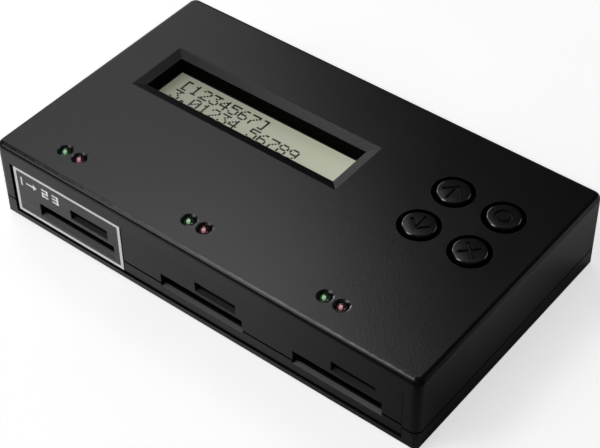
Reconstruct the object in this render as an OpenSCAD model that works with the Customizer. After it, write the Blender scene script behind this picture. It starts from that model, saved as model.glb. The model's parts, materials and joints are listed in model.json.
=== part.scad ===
// Memory card duplicator: one source station and two target stations in a flat two-part case.
// Millimetres. The origin is on the table under the middle of the case, +X along the front
// from the source station, +Y to the back and +Z up.

/* [Case] */
// Outer width of the case
case_w = 138; // [134:1:160]
// Outer depth of the case
case_d = 81; // [79:1:100]
// Height of the two covers together, without the feet
case_h = 24.6; // [24:0.2:30]
// Height of the bottom cover up to the parting line
split_h = 6.3; // [5.8:0.1:7]
// Side wall thickness
wall = 2; // [1.6:0.1:2.4]
// Thickness of the top face
top_t = 2; // [1.6:0.1:2.4]
// Thickness of the floor
floor_t = 2; // [1.6:0.1:2.4]
// Radius of the upright corners
corner_r = 2.4; // [1:0.1:3]
// Radius of the edge around the top face
edge_r = 1.8; // [1:0.1:2.4]
// Radius of the edge around the underside
base_r = 0.4; // [0.3:0.1:1.6]
// Inward slope of the bottom cover over its height
draft = 0.2; // [0.1:0.05:0.8]
// Height of the shadow gap along the parting line
reveal_h = 0.5; // [0.2:0.05:0.6]
// Depth of the shadow gap along the parting line
reveal_d = 1; // [0.4:0.1:1.1]

/* [Front panels] */
// Width of the corner post on each side of the panel opening
post_w = 4.6; // [4:0.1:8]
// Height of the sill under the panels, from the underside
sill_h = 1.9; // [1.6:0.1:2.6]
// Thickness of the sill's lip, in front of the shadow gap under the panels
lip_t = 0.45; // [0.4:0.05:0.6]
// Depth of the shadow gap behind the lip
lip_drop = 0.8; // [0.4:0.1:1]
// Height of the panel opening's top edge, from the underside
opening_top = 19; // [17:0.5:20]
// Set-back of the panels behind the case front
panel_setback = 0.6; // [0.3:0.1:1]
// Thickness of the rear flange that holds a panel behind the front wall
flange_t = 0.8; // [0.6:0.1:1.2]
// Overlap of the flange behind the wall
flange_lap = 1.4; // [1:0.1:1.8]
// Gap at the sides and the sill
panel_gap = 0.45; // [0.3:0.05:0.8]
// Gap at the top edge
panel_top_gap = 0.15; // [0.1:0.05:0.3]

/* [Stations] */
// First station's lamps, from the left side of the case
station_from_left = 20.3; // [19.6:0.05:20.6]
// Last station's lamps, from the right side of the case
station_from_right = 31.6; // [31:0.05:33]
// Distance between the lamps of one station
lamp_pitch = 5.05; // [4.9:0.05:5.6]
// Lamp row, from the case front
lamp_from_front = 8.85; // [7:0.05:12]
// Diameter of the dished rim around a lamp
lamp_rim_d = 4.6; // [4.4:0.1:4.8]
// Depth of the dished rim around a lamp
lamp_rim_h = 0.25; // [0.15:0.05:0.4]
// Lamp body diameter
lamp_d = 3; // [2.6:0.1:3.4]
// Lamp tip above the top face
lamp_proud = 0.3; // [0:0.1:0.8]
// Long slot width
sd_slot_w = 27; // [26:0.1:28]
// Long slot centre, from the lamps
sd_offset = 7.15; // [6.5:0.05:7.5]
// Short slot width
micro_slot_w = 13.2; // [12:0.1:14]
// Short slot centre, from the lamps
micro_offset = 12.1; // [11.8:0.05:13]
// Room in the long slot above the card channel
sd_slot_over = 0.5; // [0.2:0.05:0.6]
// Room in the long slot below the card channel
sd_slot_under = 1.7; // [1:0.05:1.9]
// Room in the short slot above the card channel
micro_slot_over = 1.65; // [0.4:0.05:2]
// Room in the short slot below the card channel
micro_slot_under = 0.7; // [0.4:0.05:0.8]

/* [Source label] */
// Label width
label_w = 38.6; // [36:0.1:39]
// Label edge, from the left end of the panel
label_inset = 0.25; // [0.1:0.05:1]
// Film thickness
label_t = 0.15; // [0.1:0.05:0.3]
// Radius of the label's corners
label_r = 0.5; // [0.5:0.1:2]

/* [Display] */
// Width of the window opening
view_w = 64.4; // [60:0.2:66]
// Depth of the window opening
view_d = 14.3; // [13:0.1:16]
// Width of the bevel around the window
bevel_w = 2.9; // [2:0.1:4]
// Depth of the bevel
bevel_h = 0.8; // [0.5:0.1:1.2]
// Depth of the glass below the top face
glass_depth = 5.8; // [5.2:0.1:6]
// Middle of the window, from the left side of the case
display_from_left = 48; // [47:0.1:50]
// Middle of the window and of the buttons, from the case front
row_from_front = 50; // [48:0.1:50.5]
// Height of the display's metal bezel
bezel_h = 3.8; // [3.6:0.1:4.2]
// Sheet thickness of the bezel
bezel_t = 0.4; // [0.3:0.05:0.6]
// Thickness of the glass cell
cell_t = 2.2; // [1.8:0.1:2.6]

/* [Buttons] */
// Distance between button centres
key_pitch = 15.2; // [14.6:0.1:16]
// Middle of the buttons, from the right side of the case
keys_from_right = 22.8; // [22.4:0.1:23.6]
// Button diameter
key_d = 9; // [8.6:0.1:11]
// Gap around a button
key_gap = 1.3; // [0.35:0.05:1.4]
// Button height above the top face
key_proud = 0.5; // [0.3:0.1:1.6]
// Radius of the button's top edge
key_r = 0.5; // [0.4:0.1:1]
// Button travel
key_travel = 0.5; // [0.25:0.05:0.6]
// Thickness of the flange that keeps a button in
key_flange_t = 1.2; // [1:0.1:1.4]
// Width of the flange beyond the hole
key_flange_lap = 0.6; // [0.5:0.1:1.2]
// Side of the switch body
switch_w = 6; // [5:0.1:7]
// Height of the switch body
switch_h = 3.5; // [3:0.1:3.8]
// Diameter of the switch plunger
plunger_d = 3.4; // [3:0.1:3.8]
// Plunger height above the switch body
plunger_proud = 1.4; // [1.2:0.1:1.6]

/* [Boards and sockets] */
// Thickness of the circuit boards
board_t = 1.6; // [1.2:0.1:1.8]
// Height of the main board above the floor
board_lift = 7.5; // [7.3:0.1:7.8]
// Long card channel height
sd_channel_h = 2.3; // [2.2:0.05:2.4]
// Long card channel width
sd_channel_w = 24.4; // [24.2:0.1:25]
// Depth of a long card socket
sd_socket_d = 28.5; // [26:0.1:29]
// Side rail of a long card socket
sd_rail = 1.55; // [1.2:0.05:1.6]
// Contact bed of a long card socket
sd_bed = 0.45; // [0.4:0.05:0.6]
// Short card channel height
micro_channel_h = 0.95; // [0.9:0.05:1.1]
// Short card channel width
micro_channel_w = 11.3; // [11.2:0.1:11.8]
// Depth of a short card socket
micro_socket_d = 14.8; // [13:0.1:16]
// Side rail of a short card socket
micro_rail = 1.15; // [1:0.05:1.2]
// Contact bed of a short card socket
micro_bed = 0.35; // [0.3:0.05:0.45]
// Sheet thickness of the socket shells
shell_t = 0.2; // [0.15:0.05:0.25]

/* [Power jack] */
// Jack position, from the right side of the case
jack_from_right = 42.5; // [41:0.5:44]
// Width and height of the jack's housing
jack_w = 9; // [8:0.1:10]
// Length of the jack's housing inside the case
jack_l = 10; // [9:0.1:10.4]
// Diameter of the jack's collar in the rear wall
jack_collar_d = 8; // [7.4:0.1:8.6]
// Bore of the jack
jack_bore_d = 6; // [5.5:0.1:6.4]
// Centre pin of the jack
jack_pin_d = 2; // [1.6:0.1:2.5]

/* [Feet and fasteners] */
// Height of the feet below the case
foot_h = 0.9; // [0.6:0.1:2]
// Foot diameter
foot_d = 10; // [8:0.5:11]
// Depth of the foot's recess
foot_recess = 0.5; // [0.3:0.1:0.8]
// Foot centre, from each side of the case
foot_inset_x = 15; // [14:0.5:18]
// Foot centre, from the case front and back
foot_inset_y = 10.5; // [9.5:0.5:12]
// Outer diameter of the case screw bosses
boss_d = 6; // [5.8:0.1:6.4]
// How far the bosses run into the side walls
boss_sink = 0.4; // [0.2:0.1:0.6]
// Screw shank diameter
screw_d = 2.4; // [2:0.1:2.6]
// Screw head diameter
head_d = 4.4; // [4:0.1:4.6]
// Screw head height
head_h = 1.2; // [1:0.1:1.3]

/* [Clearances] */
// Clearance between parts that are fitted by hand
fit = 0.15; // [0.1:0.05:0.2]
// Radial clearance of a screw in its pilot hole
pilot_fit = 0.05; // [0.03:0.01:0.1]
// Radial clearance of a screw through a board or cover
through_fit = 0.2; // [0.1:0.05:0.3]
// Radial clearance of a lamp in its hole
lamp_fit = 0.2; // [0.15:0.05:0.3]
// Running clearance of the switch plungers
plunger_fit = 0.3; // [0.2:0.05:0.4]
// Free space between a board and its neighbours
board_gap = 0.6; // [0.4:0.1:0.8]

/* [Hidden] */
$fn = 48;
over = 1; // how far a cut runs past the face it opens

// Heights, from the table
base_z = foot_h;
floor_z = base_z + floor_t;
split_z = base_z + split_h;
sill_z = base_z + sill_h;
opening_z = base_z + opening_top;
top_z = base_z + case_h;
ceiling_z = top_z - top_t;

// Case faces and the space inside
side_x = case_w / 2;
front_y = -case_d / 2;
back_y = case_d / 2;
inner_w = case_w - 2 * wall;
inner_d = case_d - 2 * wall;

// Panels
opening_w = case_w - 2 * post_w;
panel_w = opening_w - 2 * panel_gap;
panel_y = front_y + panel_setback;
flange_y = front_y + wall;
panel_back_y = flange_y + flange_t;
panel_z0 = sill_z + panel_gap;
panel_z1 = opening_z - panel_top_gap;
rib_t = 1.2;
rib_len = 5;
rib_lap = 1; // how far a rib stops short of the parting line, and reaches over the opening's edge

// Case screws stand in the corners, grown into the side walls and clear of the panel flanges
boss_r = boss_d / 2;
boss_x = side_x - wall - boss_r + boss_sink;
boss_y = -front_y - wall - flange_t - boss_r - 2 * fit;
screw_seat_h = 2.6;
case_screw_l = 11;

// Bottom cover's inner rim
rim_t = 1;
rim_h = 1.6;

// Main board
board_z = floor_z + board_lift;
board_top_z = board_z + board_t;
board_w = 2 * (boss_x - boss_r - board_gap);
board_y0 = panel_back_y + board_gap;
board_back_gap = 2;
board_y1 = back_y - wall - board_back_gap;
standoff_r = 3;
standoff_bore_depth = 5;
standoff_from_front = 13;
standoff_from_side = 4.5;
standoff_from_back = 6.5;

// Stations
stations = [0, 1, 2];
lamp_y = front_y + lamp_from_front;
lamp_l = 5.3;
lamp_hole_d = lamp_d + 2 * lamp_fit;
lamp_flange_lap = 0.4;
lamp_flange_d = lamp_d + 2 * lamp_flange_lap;
lamp_flange_t = 1;
lead_w = 0.5;
lead_pitch = 2.54;
station_pitch = (case_w - station_from_left - station_from_right) / (len(stations) - 1);
function station_x(i) = -side_x + station_from_left + i * station_pitch;
function sd_x(i) = station_x(i) + sd_offset;
function micro_x(i) = station_x(i) + micro_offset;

// Long card sockets hang under the main board, short card sockets stand on it
sd_socket_w = sd_channel_w + 2 * sd_rail;
sd_channel_z = board_z - sd_bed - sd_channel_h;
sd_slot_z0 = sd_channel_z - sd_slot_under;
sd_slot_z1 = sd_channel_z + sd_channel_h + sd_slot_over;
micro_socket_w = micro_channel_w + 2 * micro_rail;
micro_channel_z = board_top_z + micro_bed;
micro_slot_z0 = micro_channel_z - micro_slot_under;
micro_slot_z1 = micro_channel_z + micro_channel_h + micro_slot_over;
socket_back = 1.5;

// Main board standoffs: two between the stations, two near the back corners
standoffs = [
    [(sd_x(0) + sd_x(1)) / 2, board_y0 + standoff_from_front],
    [(sd_x(1) + sd_x(2)) / 2, board_y0 + standoff_from_front],
    [-board_w / 2 + standoff_from_side, board_y1 - standoff_from_back],
    [board_w / 2 - standoff_from_side, board_y1 - standoff_from_back]
];

// Display stack, measured down from the top face
display_x = -side_x + display_from_left;
row_y = front_y + row_from_front;
glass_z = top_z - glass_depth;
bezel_z1 = glass_z + bezel_t;
upper_board_z1 = bezel_z1 - bezel_h;
upper_board_z0 = upper_board_z1 - board_t;
cell_z0 = glass_z - cell_t;
skirt_t = 1.2;
skirt_setback = 0.4;
bezel_side = 3.4;
bezel_rail = 4.95;
bezel_w = view_w + 2 * bezel_side;
bezel_d = view_d + 2 * bezel_rail;
display_board_side = 4.4;
display_board_rail = 5.9;
display_board_w = bezel_w + 2 * display_board_side;
display_board_d = bezel_d + 2 * display_board_rail;
hole_inset = 2.5;
display_holes = [for (sx = [-1, 1], sy = [-1, 1])
    [display_x + sx * (display_board_w / 2 - hole_inset),
     row_y + sy * (display_board_d / 2 - hole_inset)]];
contact_strip_w = 2;

// Keys
key_x = side_x - keys_from_right;
key_hole_d = key_d + 2 * key_gap;
key_flange_d = key_hole_d + 2 * key_flange_lap;
key_flange_z1 = ceiling_z - fit;
key_flange_z0 = key_flange_z1 - key_flange_t;
switch_z1 = upper_board_z1 + switch_h;
plunger_z1 = switch_z1 + plunger_proud;
plunger_in = 1.8;
stem_d = 4.4;
key_board_side = 1.4;
key_board_rail = 8.2;
key_board_w = key_pitch + switch_w + 2 * key_board_side;
key_board_d = key_pitch + switch_w + 2 * key_board_rail;
key_holes = [for (sy = [-1, 0, 1]) [key_x, row_y + sy * (key_board_d / 2 - hole_inset)]];
upper_boss_d = 5.4;
upper_screw_l = 4.5;
function key_at(col, row) = [key_x + (col - 0.5) * key_pitch, row_y + (row - 0.5) * key_pitch];
up_at = key_at(0, 1);
enter_at = key_at(1, 1);
down_at = key_at(0, 0);
cancel_at = key_at(1, 0);

// Pin headers between the main board and the two upper boards
pin_pitch = 2.54;
pin_w = 0.6;
pin_hole_d = 1;
pin_tail = 0.8;
header_w = 2.4;
display_pins = 16;
key_pins = 6;
display_header_offset = 9;
display_header_at = [display_x - display_header_offset, row_y + display_board_d / 2 - hole_inset];
key_header_drop = key_pitch / 2 + switch_w / 2 + header_w / 2 + fit;
key_header_at = [key_x, row_y - key_header_drop];

// Power jack
jack_x = side_x - jack_from_right;
jack_z = board_top_z + jack_w / 2;
jack_y0 = back_y - wall - jack_l;
jack_bore_l = 9;
jack_pin_l = 7.5;
jack_recess = 0.4;

// Loose parts on the main board
chip_w = 14;
chip_t = 1.4;
chip_gap = 6;
chip_at = [display_x, row_y];
memory_w = 5;
memory_l = 8;
memory_at = [chip_at[0] + chip_w / 2 + chip_gap + memory_l / 2, chip_at[1]];
crystal_w = 4.4;
crystal_l = 11;
crystal_h = 2;
crystal_at = [chip_at[0] - chip_w / 2 - chip_gap - crystal_w / 2, chip_at[1]];
capacitor_d = 6.3;
capacitor_h = 7.7;
capacitor_gap = 2;
capacitor_at = [micro_x(1), board_y0 + micro_socket_d + capacitor_gap + capacitor_d / 2];

// A block between two corners
module block(low, high) {
    translate(low) cube(high - low);
}

// A rectangle with round corners, centred
module rounded_rect(w, d, r) {
    square([w - 2 * r, d], center = true);
    square([w, d - 2 * r], center = true);
    for (sx = [-1, 1], sy = [-1, 1])
        translate([sx * (w / 2 - r), sy * (d / 2 - r)]) circle(r);
}

// Extrudes a profile drawn in X and Z along the depth of the case
module along_y(length) {
    rotate([90, 0, 0]) linear_extrude(length, center = true) children();
}

// Extrudes a profile drawn in Y and Z along the width of the case
module along_x(length) {
    rotate([90, 0, 90]) linear_extrude(length, center = true) children();
}

// Upright profile of the top cover, rounded at its upper corners
module crown_profile(w) {
    translate([-w / 2, split_z]) square([w, top_z - edge_r - split_z]);
    translate([-w / 2 + edge_r, split_z]) square([w - 2 * edge_r, top_z - split_z]);
    for (s = [-1, 1]) translate([s * (w / 2 - edge_r), top_z - edge_r]) circle(edge_r);
}

// Turned profile of a round-edged post, from its axis outwards
module rolled_profile(radius, height, r) {
    square([radius - r, height]);
    square([radius, height - r]);
    translate([radius - r, height - r]) intersection() {
        circle(r);
        square(r);
    }
}

// Outside of the top cover: two crossing profiles and a round-edged post in each corner
module crown() {
    along_y(case_d - 2 * corner_r) crown_profile(case_w);
    along_x(case_w - 2 * corner_r) crown_profile(case_d);
    for (sx = [-1, 1], sy = [-1, 1])
        translate([sx * (side_x - corner_r), sy * (back_y - corner_r), split_z])
            rotate_extrude() rolled_profile(corner_r, top_z - split_z, min(edge_r, corner_r));
}

// Upright profile of the bottom cover, drawn in towards its rounded lower corners
module tray_profile(w) {
    low = w / 2 - draft;
    polygon([[-w / 2, split_z], [w / 2, split_z], [low, base_z + base_r], [low - base_r, base_z],
             [-low + base_r, base_z], [-low, base_z + base_r]]);
    for (s = [-1, 1]) translate([s * (low - base_r), base_z + base_r]) circle(base_r);
}

module case_plan(z0, z1) {
    translate([0, 0, z0]) linear_extrude(z1 - z0) rounded_rect(case_w, case_d, corner_r);
}

// One child at each of a list of places
module at_each(places) {
    for (p = places) translate([p[0], p[1], 0]) children();
}

module post(r, z0, z1) {
    translate([0, 0, z0]) cylinder(r = r, h = z1 - z0);
}

case_screw_places = [for (sx = [-1, 1], sy = [-1, 1]) [sx * boss_x, sy * boss_y]];

// Screw holes, standoff bores and foot recesses of the bottom cover
module bottom_cover_bores() {
    at_each(case_screw_places) {
        post(screw_d / 2 + through_fit, base_z - over, split_z + over);
        post(head_d / 2 + through_fit, base_z - over, base_z + screw_seat_h);
    }
    at_each(standoffs) post(screw_d / 2 + pilot_fit, board_z - standoff_bore_depth, board_z + over);
    for (sx = [-1, 1], sy = [-1, 1])
        translate([sx * (side_x - foot_inset_x), sy * (-front_y - foot_inset_y), 0])
            post(foot_d / 2 + fit, base_z - over, base_z + foot_recess);
}

// Inner rim that locates the top cover, open behind the panels and round the corner bosses.
// It stands on a thickened stretch of the wall below the parting line.
module locating_rim() {
    rim_w = inner_w - 2 * fit;
    rim_d = inner_d - 2 * fit;
    difference() {
        union() {
            block([-rim_w / 2, -rim_d / 2, split_z - over], [rim_w / 2, rim_d / 2, split_z + rim_h]);
            block([-inner_w / 2 - fit, -inner_d / 2 - fit, floor_z - fit],
                  [inner_w / 2 + fit, inner_d / 2 + fit, split_z]);
        }
        block([-rim_w / 2 + rim_t, -rim_d / 2 + rim_t, floor_z - over],
              [rim_w / 2 - rim_t, rim_d / 2 - rim_t, split_z + rim_h + over]);
        block([-side_x, front_y, floor_z - over],
              [side_x, -boss_y + boss_r + fit, split_z + rim_h + over]);
        at_each(case_screw_places) post(boss_r + 2 * fit, split_z, split_z + rim_h + over);
    }
}

module bottom_cover() {
    color("#1b1b1d")
    difference() {
        union() {
            difference() {
                intersection() {
                    case_plan(base_z, split_z);
                    along_y(case_d) tray_profile(case_w);
                    along_x(case_w) tray_profile(case_d);
                }
                block([-inner_w / 2, -inner_d / 2, floor_z], [inner_w / 2, inner_d / 2, split_z + over]);
                block([-opening_w / 2, front_y - over, sill_z], [opening_w / 2, flange_y, split_z + over]);
                block([-opening_w / 2, front_y + lip_t, sill_z - lip_drop],
                      [opening_w / 2, flange_y, split_z + over]);
                difference() {
                    case_plan(split_z - reveal_h, split_z + over);
                    block([-side_x + reveal_d, front_y + reveal_d, base_z],
                          [side_x - reveal_d, back_y - reveal_d, top_z]);
                }
            }
            locating_rim();
            at_each(case_screw_places) post(boss_r, floor_z - over, split_z);
            at_each(standoffs) post(standoff_r, floor_z - over, board_z);
            for (x = [-opening_w / 2 + rib_len, opening_w / 2 - rib_len])
                block([x - rib_len / 2, panel_back_y + fit, floor_z - over],
                      [x + rib_len / 2, panel_back_y + fit + rib_t, split_z - rib_lap]);
        }
        bottom_cover_bores();
    }
}

// Window opening with its bevel, cut down from the top face
module window_cut() {
    slope = bevel_w / bevel_h;
    reach = bevel_w + slope * over;
    translate([display_x, row_y, 0]) {
        block([-view_w / 2, -view_d / 2, ceiling_z - over], [view_w / 2, view_d / 2, top_z + over]);
        intersection() {
            translate([0, 0, top_z - bevel_h]) along_y(view_d + 2 * reach)
                polygon([[-view_w / 2, 0], [view_w / 2, 0],
                         [view_w / 2 + reach, bevel_h + over], [-view_w / 2 - reach, bevel_h + over]]);
            translate([0, 0, top_z - bevel_h]) along_x(view_w + 2 * reach)
                polygon([[-view_d / 2, 0], [view_d / 2, 0],
                         [view_d / 2 + reach, bevel_h + over], [-view_d / 2 - reach, bevel_h + over]]);
        }
    }
}

// Skirt under the window that reaches down to the display's bezel
module window_skirt() {
    in_w = view_w + 2 * skirt_setback;
    in_d = view_d + 2 * skirt_setback;
    translate([display_x, row_y, 0])
    difference() {
        block([-in_w / 2 - skirt_t, -in_d / 2 - skirt_t, bezel_z1],
              [in_w / 2 + skirt_t, in_d / 2 + skirt_t, ceiling_z + over]);
        block([-in_w / 2, -in_d / 2, bezel_z1 - over], [in_w / 2, in_d / 2, ceiling_z]);
    }
}

// Lamp hole, widening to a shallow dished rim at the top face
module lamp_hole() {
    slope = (lamp_rim_d - lamp_hole_d) / lamp_rim_h;
    post(lamp_hole_d / 2, ceiling_z - over, top_z + over);
    translate([0, 0, top_z - lamp_rim_h])
        cylinder(d1 = lamp_hole_d, d2 = lamp_rim_d + slope * over, h = lamp_rim_h + over);
}

module top_cover() {
    color("#1e1e20")
    difference() {
        union() {
            difference() {
                crown();
                block([-inner_w / 2, -inner_d / 2, split_z - over], [inner_w / 2, inner_d / 2, ceiling_z]);
                block([-opening_w / 2, front_y - over, split_z - over],
                      [opening_w / 2, flange_y + over, opening_z]);
            }
            window_skirt();
            at_each(case_screw_places) post(boss_r, split_z, ceiling_z + over);
            at_each(display_holes) post(upper_boss_d / 2, upper_board_z1, ceiling_z + over);
            at_each(key_holes) post(upper_boss_d / 2, upper_board_z1, ceiling_z + over);
            for (x = [-opening_w / 2 + rib_len, opening_w / 2 - rib_len])
                block([x - rib_len / 2, panel_back_y + fit, opening_z - rib_lap],
                      [x + rib_len / 2, panel_back_y + fit + rib_t, ceiling_z + over]);
        }
        window_cut();
        for (i = stations, s = [-1, 1])
            translate([station_x(i) + s * lamp_pitch / 2, lamp_y, 0]) lamp_hole();
        at_each([up_at, enter_at, down_at, cancel_at]) post(key_hole_d / 2, ceiling_z - over, top_z + over);
        at_each(case_screw_places)
            post(screw_d / 2 + pilot_fit, split_z - over, base_z + screw_seat_h + case_screw_l + over);
        at_each(concat(display_holes, key_holes))
            post(screw_d / 2 + pilot_fit, upper_board_z1 - over, upper_board_z0 + upper_screw_l + over);
        translate([jack_x, back_y, jack_z])
            rotate([90, 0, 0]) cylinder(d = jack_collar_d + 2 * fit, h = 4 * wall, center = true);
    }
}

// Both card slots of every station
module slot_cuts() {
    for (i = stations) {
        block([sd_x(i) - sd_slot_w / 2, panel_y - over, sd_slot_z0],
              [sd_x(i) + sd_slot_w / 2, panel_back_y + over, sd_slot_z1]);
        block([micro_x(i) - micro_slot_w / 2, panel_y - over, micro_slot_z0],
              [micro_x(i) + micro_slot_w / 2, panel_back_y + over, micro_slot_z1]);
    }
}

module upper_front_panel() {
    color("#1c1c1e")
    difference() {
        union() {
            block([-panel_w / 2, panel_y, split_z], [panel_w / 2, flange_y, panel_z1]);
            block([-opening_w / 2 - flange_lap, flange_y, split_z],
                  [opening_w / 2 + flange_lap, panel_back_y, opening_z + flange_lap]);
        }
        slot_cuts();
    }
}

module lower_front_panel() {
    color("#1c1c1e")
    difference() {
        union() {
            block([-panel_w / 2, panel_y, panel_z0], [panel_w / 2, flange_y, split_z]);
            block([-opening_w / 2 - flange_lap, flange_y, floor_z],
                  [opening_w / 2 + flange_lap, panel_back_y, split_z]);
        }
        slot_cuts();
        block([-panel_w / 2 - over, panel_y - over, split_z - reveal_h],
              [panel_w / 2 + over, panel_y + reveal_d, split_z + over]);
    }
}

module source_label() {
    x0 = -panel_w / 2 + label_inset;
    z0 = panel_z0 + label_inset;
    z1 = panel_z1 - label_inset;
    color("#3a3a3c")
    difference() {
        translate([x0 + label_w / 2, panel_y - label_t / 2, (z0 + z1) / 2])
            along_y(label_t) rounded_rect(label_w, z1 - z0, label_r);
        slot_cuts();
    }
}

// A row of square pins along X, or of the holes for them
module pin_row(at, count, z) {
    for (k = [0 : count - 1])
        translate([at[0] + (k - (count - 1) / 2) * pin_pitch, at[1], z]) children();
}

module pin_holes(at, count, z) {
    pin_row(at, count, z - over) cylinder(d = pin_hole_d, h = board_t + 2 * over);
}

module main_board() {
    color("#1f5a34")
    difference() {
        block([-board_w / 2, board_y0, board_z], [board_w / 2, board_y1, board_top_z]);
        at_each(standoffs) post(screw_d / 2 + through_fit, board_z - over, board_top_z + over);
        pin_holes(display_header_at, display_pins, board_z);
        pin_holes(key_header_at, key_pins, board_z);
    }
}

module display_board() {
    color("#1f5a34")
    difference() {
        block([display_x - display_board_w / 2, row_y - display_board_d / 2, upper_board_z0],
              [display_x + display_board_w / 2, row_y + display_board_d / 2, upper_board_z1]);
        at_each(display_holes) post(screw_d / 2 + through_fit, upper_board_z0 - over, upper_board_z1 + over);
        pin_holes(display_header_at, display_pins, upper_board_z0);
    }
}

module key_board() {
    color("#1f5a34")
    difference() {
        block([key_x - key_board_w / 2, row_y - key_board_d / 2, upper_board_z0],
              [key_x + key_board_w / 2, row_y + key_board_d / 2, upper_board_z1]);
        at_each(key_holes) post(screw_d / 2 + through_fit, upper_board_z0 - over, upper_board_z1 + over);
        pin_holes(key_header_at, key_pins, upper_board_z0);
    }
}

// Folded steel frame over the glass cell, open at the window
module display_bezel() {
    color("#2a2a2c")
    translate([display_x, row_y, 0])
    difference() {
        block([-bezel_w / 2, -bezel_d / 2, upper_board_z1], [bezel_w / 2, bezel_d / 2, bezel_z1]);
        block([-bezel_w / 2 + bezel_t, -bezel_d / 2 + bezel_t, upper_board_z1 - over],
              [bezel_w / 2 - bezel_t, bezel_d / 2 - bezel_t, glass_z]);
        block([-view_w / 2, -view_d / 2, glass_z - over], [view_w / 2, view_d / 2, bezel_z1 + over]);
    }
}

cell_w = bezel_w - 2 * bezel_t - 2 * fit;
cell_d = bezel_d - 2 * bezel_t - 2 * fit;

module display_glass() {
    color("#b9bda6")
    block([display_x - cell_w / 2, row_y - cell_d / 2, cell_z0],
          [display_x + cell_w / 2, row_y + cell_d / 2, glass_z]);
}

module display_light_guide() {
    guide_d = cell_d - 2 * contact_strip_w - 4 * fit;
    color("#e8ead8")
    block([display_x - cell_w / 2, row_y - guide_d / 2, upper_board_z1],
          [display_x + cell_w / 2, row_y + guide_d / 2, cell_z0]);
}

// Two striped rubber strips that carry the signals from the board up to the glass
module display_contact_strips() {
    color("#8a8a86")
    for (s = [-1, 1]) {
        y = row_y + s * (cell_d - contact_strip_w) / 2;
        block([display_x - cell_w / 2, y - contact_strip_w / 2, upper_board_z1],
              [display_x + cell_w / 2, y + contact_strip_w / 2, cell_z0]);
    }
}

module header(at, count) {
    length = count * pin_pitch;
    color("#17171a")
    union() {
        block([at[0] - length / 2, at[1] - header_w / 2, board_top_z],
              [at[0] + length / 2, at[1] + header_w / 2, upper_board_z0]);
        pin_row(at, count, board_z - pin_tail)
            translate([-pin_w / 2, -pin_w / 2, 0])
                cube([pin_w, pin_w, upper_board_z1 - board_z + 2 * pin_tail]);
    }
}

module display_header() { header(display_header_at, display_pins); }
module key_header() { header(key_header_at, key_pins); }

// Push button: a cap with a round top edge, a flange that keeps it in and a stem on the switch
module push_button(at) {
    height = top_z + key_proud - key_flange_z1;
    color("#19191b")
    translate([at[0], at[1], 0])
    union() {
        translate([0, 0, key_flange_z1]) rotate_extrude() rolled_profile(key_d / 2, height, key_r);
        post(key_flange_d / 2, key_flange_z0, key_flange_z1);
        post(stem_d / 2, plunger_z1, key_flange_z0);
    }
}

module button_up() { push_button(up_at); }
module button_enter() { push_button(enter_at); }
module button_down() { push_button(down_at); }
module button_cancel() { push_button(cancel_at); }

// Switch plunger, free to sink into the switch body
module plunger(at) {
    color("#0f0f10")
    translate([at[0], at[1], 0]) post(plunger_d / 2, switch_z1 - plunger_in, plunger_z1);
}

module plunger_up() { plunger(up_at); }
module plunger_enter() { plunger(enter_at); }
module plunger_down() { plunger(down_at); }
module plunger_cancel() { plunger(cancel_at); }

module switch_body(at) {
    well = plunger_in + key_travel + fit;
    color("#2c2c2e")
    translate([at[0], at[1], 0])
    difference() {
        block([-switch_w / 2, -switch_w / 2, upper_board_z1], [switch_w / 2, switch_w / 2, switch_z1]);
        post(plunger_d / 2 + plunger_fit, switch_z1 - well, switch_z1 + over);
    }
}

module switch_up() { switch_body(up_at); }
module switch_enter() { switch_body(enter_at); }
module switch_down() { switch_body(down_at); }
module switch_cancel() { switch_body(cancel_at); }

// Round-topped lamp on two long leads that stand on the main board
module lamp(i, side, tint) {
    tip_z = top_z + lamp_proud;
    foot_z = tip_z - lamp_l;
    color(tint)
    translate([station_x(i) + side * lamp_pitch / 2, lamp_y, 0])
    union() {
        post(lamp_d / 2, foot_z, tip_z - lamp_d / 2);
        translate([0, 0, tip_z - lamp_d / 2]) sphere(d = lamp_d);
        post(lamp_flange_d / 2, foot_z, foot_z + lamp_flange_t);
        for (s = [-1, 1])
            block([s * lead_pitch / 2 - lead_w / 2, -lead_w / 2, board_top_z],
                  [s * lead_pitch / 2 + lead_w / 2, lead_w / 2, foot_z + lamp_flange_t / 2]);
    }
}

module green_lamp(i) { lamp(i, -1, "#2f6b35"); }
module red_lamp(i) { lamp(i, 1, "#6b2026"); }

// Long card socket: contact bed against the board, side rails and a back stop
module sd_socket(i) {
    x = sd_x(i);
    rail_z = sd_channel_z;
    y1 = board_y0 + sd_socket_d;
    color("#161618")
    difference() {
        block([x - sd_socket_w / 2, board_y0, rail_z], [x + sd_socket_w / 2, y1, board_z]);
        block([x - sd_channel_w / 2, board_y0 - over, rail_z - over],
              [x + sd_channel_w / 2, y1 - socket_back, board_z - sd_bed]);
    }
}

// Steel shell that closes the long card channel from below and folds up its sides
module sd_shell(i) {
    x = sd_x(i);
    half = sd_socket_w / 2;
    y1 = board_y0 + sd_socket_d;
    color("#b5b8bb")
    difference() {
        block([x - half - shell_t, board_y0, sd_channel_z - shell_t],
              [x + half + shell_t, y1, board_z - fit]);
        block([x - half, board_y0 - over, sd_channel_z], [x + half, y1 + over, board_z + over]);
    }
}

// Short card socket on top of the board
module micro_socket(i) {
    x = micro_x(i);
    rail_z1 = micro_channel_z + micro_channel_h;
    y1 = board_y0 + micro_socket_d;
    color("#161618")
    difference() {
        block([x - micro_socket_w / 2, board_y0, board_top_z], [x + micro_socket_w / 2, y1, rail_z1]);
        block([x - micro_channel_w / 2, board_y0 - over, micro_channel_z],
              [x + micro_channel_w / 2, y1 - socket_back, rail_z1 + over]);
    }
}

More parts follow.
